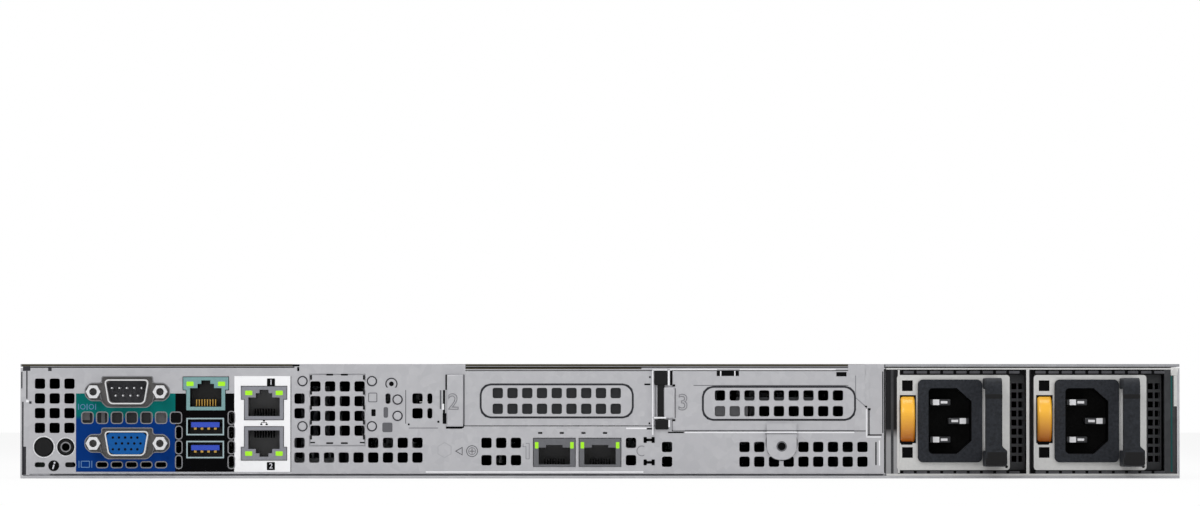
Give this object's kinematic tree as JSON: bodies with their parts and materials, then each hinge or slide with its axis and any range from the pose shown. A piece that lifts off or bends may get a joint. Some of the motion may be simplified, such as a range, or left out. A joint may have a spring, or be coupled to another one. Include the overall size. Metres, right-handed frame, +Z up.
{
  "type": "rack server",
  "caption": "Flat rack-mount server with a perforated rear wall of ports, plug-in power supplies with pull grips, a lift-off cover, fans and front drive carriers.",
  "frame": {"origin": "middle of the footprint, on the floor the chassis stands on", "axes": "+Z up, +Y towards the drive bays at the front, the rear wall with the ports faces -Y, +X to the right of someone looking at the rear wall"},
  "size_m": [0.482, 0.703, 0.0428],
  "materials": {
    "zinc_sheet": "satin",
    "rear_sheet": "satin",
    "cover_sheet": "satin",
    "dark_sheet": "satin",
    "port_steel": "satin",
    "black_plastic": "matte",
    "blue_plastic": "matte",
    "orange_plastic": "gloss",
    "board": "satin",
    "fin_aluminium": "satin",
    "disk_body": "satin",
    "grey_plastic": "matte"
  },
  "bodies": {
    "server": {"chassis_base": "zinc_sheet", "psu_cage": "zinc_sheet", "drive_cage": "zinc_sheet", "ear_left": "zinc_sheet", "ear_right": "zinc_sheet", "rail_posts": "zinc_sheet", "port_plate": "rear_sheet", "jack_plate": "rear_sheet", "rear_panel": "rear_sheet", "lom_bracket": "rear_sheet", "slot_cover_2": "rear_sheet", "slot_cover_3": "rear_sheet", "card_clamps": "black_plastic", "serial_insert": "black_plastic", "status_jack": "black_plastic", "air_shroud": "black_plastic", "fan_frames": "black_plastic", "serial_shell": "port_steel", "vga_shell": "port_steel", "jack_screws": "port_steel", "usb_shells": "port_steel", "management_port": "port_steel", "ethernet_ports": "port_steel", "lom_ports": "port_steel", "vga_insert": "blue_plastic", "usb_tongues": "blue_plastic", "motherboard": "board", "power_board": "board", "option_cards": "board", "drive_backplane": "board", "memory_modules": "board", "cpu_heatsinks": "fin_aluminium"},
    "top_cover": {"top_cover": "cover_sheet"},
    "cover_latch": {"cover_latch": "grey_plastic"},
    "id_button": {"id_button": "black_plastic"},
    "power_button": {"power_button": "black_plastic"},
    "psu_1": {"psu_1_case": "dark_sheet", "psu_1_face": "rear_sheet", "psu_1_inlet": "black_plastic", "psu_1_handle": "black_plastic"},
    "psu_1_latch": {"psu_1_latch": "orange_plastic"},
    "psu_2": {"psu_2_case": "dark_sheet", "psu_2_face": "rear_sheet", "psu_2_inlet": "black_plastic", "psu_2_handle": "black_plastic"},
    "psu_2_latch": {"psu_2_latch": "orange_plastic"},
    "fan_rotor_1": {"fan_rotor_1": "black_plastic"},
    "fan_rotor_2": {"fan_rotor_2": "black_plastic"},
    "fan_rotor_3": {"fan_rotor_3": "black_plastic"},
    "fan_rotor_4": {"fan_rotor_4": "black_plastic"},
    "fan_rotor_5": {"fan_rotor_5": "black_plastic"},
    "fan_rotor_6": {"fan_rotor_6": "black_plastic"},
    "drive_carrier_1": {"drive_carrier_1": "disk_body"},
    "carrier_handle_1": {"carrier_handle_1": "grey_plastic"},
    "drive_carrier_2": {"drive_carrier_2": "disk_body"},
    "carrier_handle_2": {"carrier_handle_2": "grey_plastic"},
    "drive_carrier_3": {"drive_carrier_3": "disk_body"},
    "carrier_handle_3": {"carrier_handle_3": "grey_plastic"},
    "drive_carrier_4": {"drive_carrier_4": "disk_body"},
    "carrier_handle_4": {"carrier_handle_4": "grey_plastic"}
  },
  "joints": [
    {"name": "cover_lift", "type": "slide", "parent": "server", "child": "top_cover", "axis": [0, 0, 1], "range_m": [0, 0.25]},
    {"name": "cover_latch_swing", "type": "hinge", "parent": "top_cover", "child": "cover_latch", "pos_m": [-0.02, -0.0851, 0.0404], "axis": [-1, 0, 0], "range_deg": [0, 80]},
    {"name": "id_button_push", "type": "slide", "parent": "server", "child": "id_button", "axis": [0, 1, 0], "range_m": [0, 0.0012], "stiffness_N_per_m": 600},
    {"name": "power_button_push", "type": "slide", "parent": "server", "child": "power_button", "axis": [0, -1, 0], "range_m": [0, 0.0012], "stiffness_N_per_m": 600},
    {"name": "psu_1_pull", "type": "slide", "parent": "server", "child": "psu_1", "axis": [0, -1, 0], "range_m": [0, 0.22]},
    {"name": "psu_1_latch_press", "type": "hinge", "parent": "psu_1", "child": "psu_1_latch", "pos_m": [0.1151, -0.3243, 0.0222], "axis": [0, 0, 1], "range_deg": [0, 7], "stiffness_Nm_per_rad": 0.1},
    {"name": "psu_2_pull", "type": "slide", "parent": "server", "child": "psu_2", "axis": [0, -1, 0], "range_m": [0, 0.22]},
    {"name": "psu_2_latch_press", "type": "hinge", "parent": "psu_2", "child": "psu_2_latch", "pos_m": [0.1663, -0.3243, 0.0222], "axis": [0, 0, 1], "range_deg": [0, 7], "stiffness_Nm_per_rad": 0.1},
    {"name": "fan_1_spin", "type": "hinge", "parent": "server", "child": "fan_rotor_1", "pos_m": [-0.175, 0.104, 0.0208], "axis": [0, 1, 0], "continuous": true},
    {"name": "fan_2_spin", "type": "hinge", "parent": "server", "child": "fan_rotor_2", "pos_m": [-0.105, 0.104, 0.0208], "axis": [0, 1, 0], "continuous": true},
    {"name": "fan_3_spin", "type": "hinge", "parent": "server", "child": "fan_rotor_3", "pos_m": [-0.035, 0.104, 0.0208], "axis": [0, 1, 0], "continuous": true},
    {"name": "fan_4_spin", "type": "hinge", "parent": "server", "child": "fan_rotor_4", "pos_m": [0.035, 0.104, 0.0208], "axis": [0, 1, 0], "continuous": true},
    {"name": "fan_5_spin", "type": "hinge", "parent": "server", "child": "fan_rotor_5", "pos_m": [0.105, 0.104, 0.0208], "axis": [0, 1, 0], "continuous": true},
    {"name": "fan_6_spin", "type": "hinge", "parent": "server", "child": "fan_rotor_6", "pos_m": [0.175, 0.104, 0.0208], "axis": [0, 1, 0], "continuous": true},
    {"name": "drive_1_pull", "type": "slide", "parent": "server", "child": "drive_carrier_1", "axis": [0, 1, 0], "range_m": [0, 0.2]},
    {"name": "handle_1_swing", "type": "hinge", "parent": "drive_carrier_1", "child": "carrier_handle_1", "pos_m": [-0.1165, 0.3393, 0.0161], "axis": [0, 0, -1], "range_deg": [0, 55]},
    {"name": "drive_2_pull", "type": "slide", "parent": "server", "child": "drive_carrier_2", "axis": [0, 1, 0], "range_m": [0, 0.2]},
    {"name": "handle_2_swing", "type": "hinge", "parent": "drive_carrier_2", "child": "carrier_handle_2", "pos_m": [-0.0095, 0.3393, 0.0161], "axis": [0, 0, -1], "range_deg": [0, 55]},
    {"name": "drive_3_pull", "type": "slide", "parent": "server", "child": "drive_carrier_3", "axis": [0, 1, 0], "range_m": [0, 0.2]},
    {"name": "handle_3_swing", "type": "hinge", "parent": "drive_carrier_3", "child": "carrier_handle_3", "pos_m": [0.0975, 0.3393, 0.0161], "axis": [0, 0, -1], "range_deg": [0, 55]},
    {"name": "drive_4_pull", "type": "slide", "parent": "server", "child": "drive_carrier_4", "axis": [0, 1, 0], "range_m": [0, 0.2]},
    {"name": "handle_4_swing", "type": "hinge", "parent": "drive_carrier_4", "child": "carrier_handle_4", "pos_m": [0.2045, 0.3393, 0.0161], "axis": [0, 0, -1], "range_deg": [0, 55]}
  ]
}
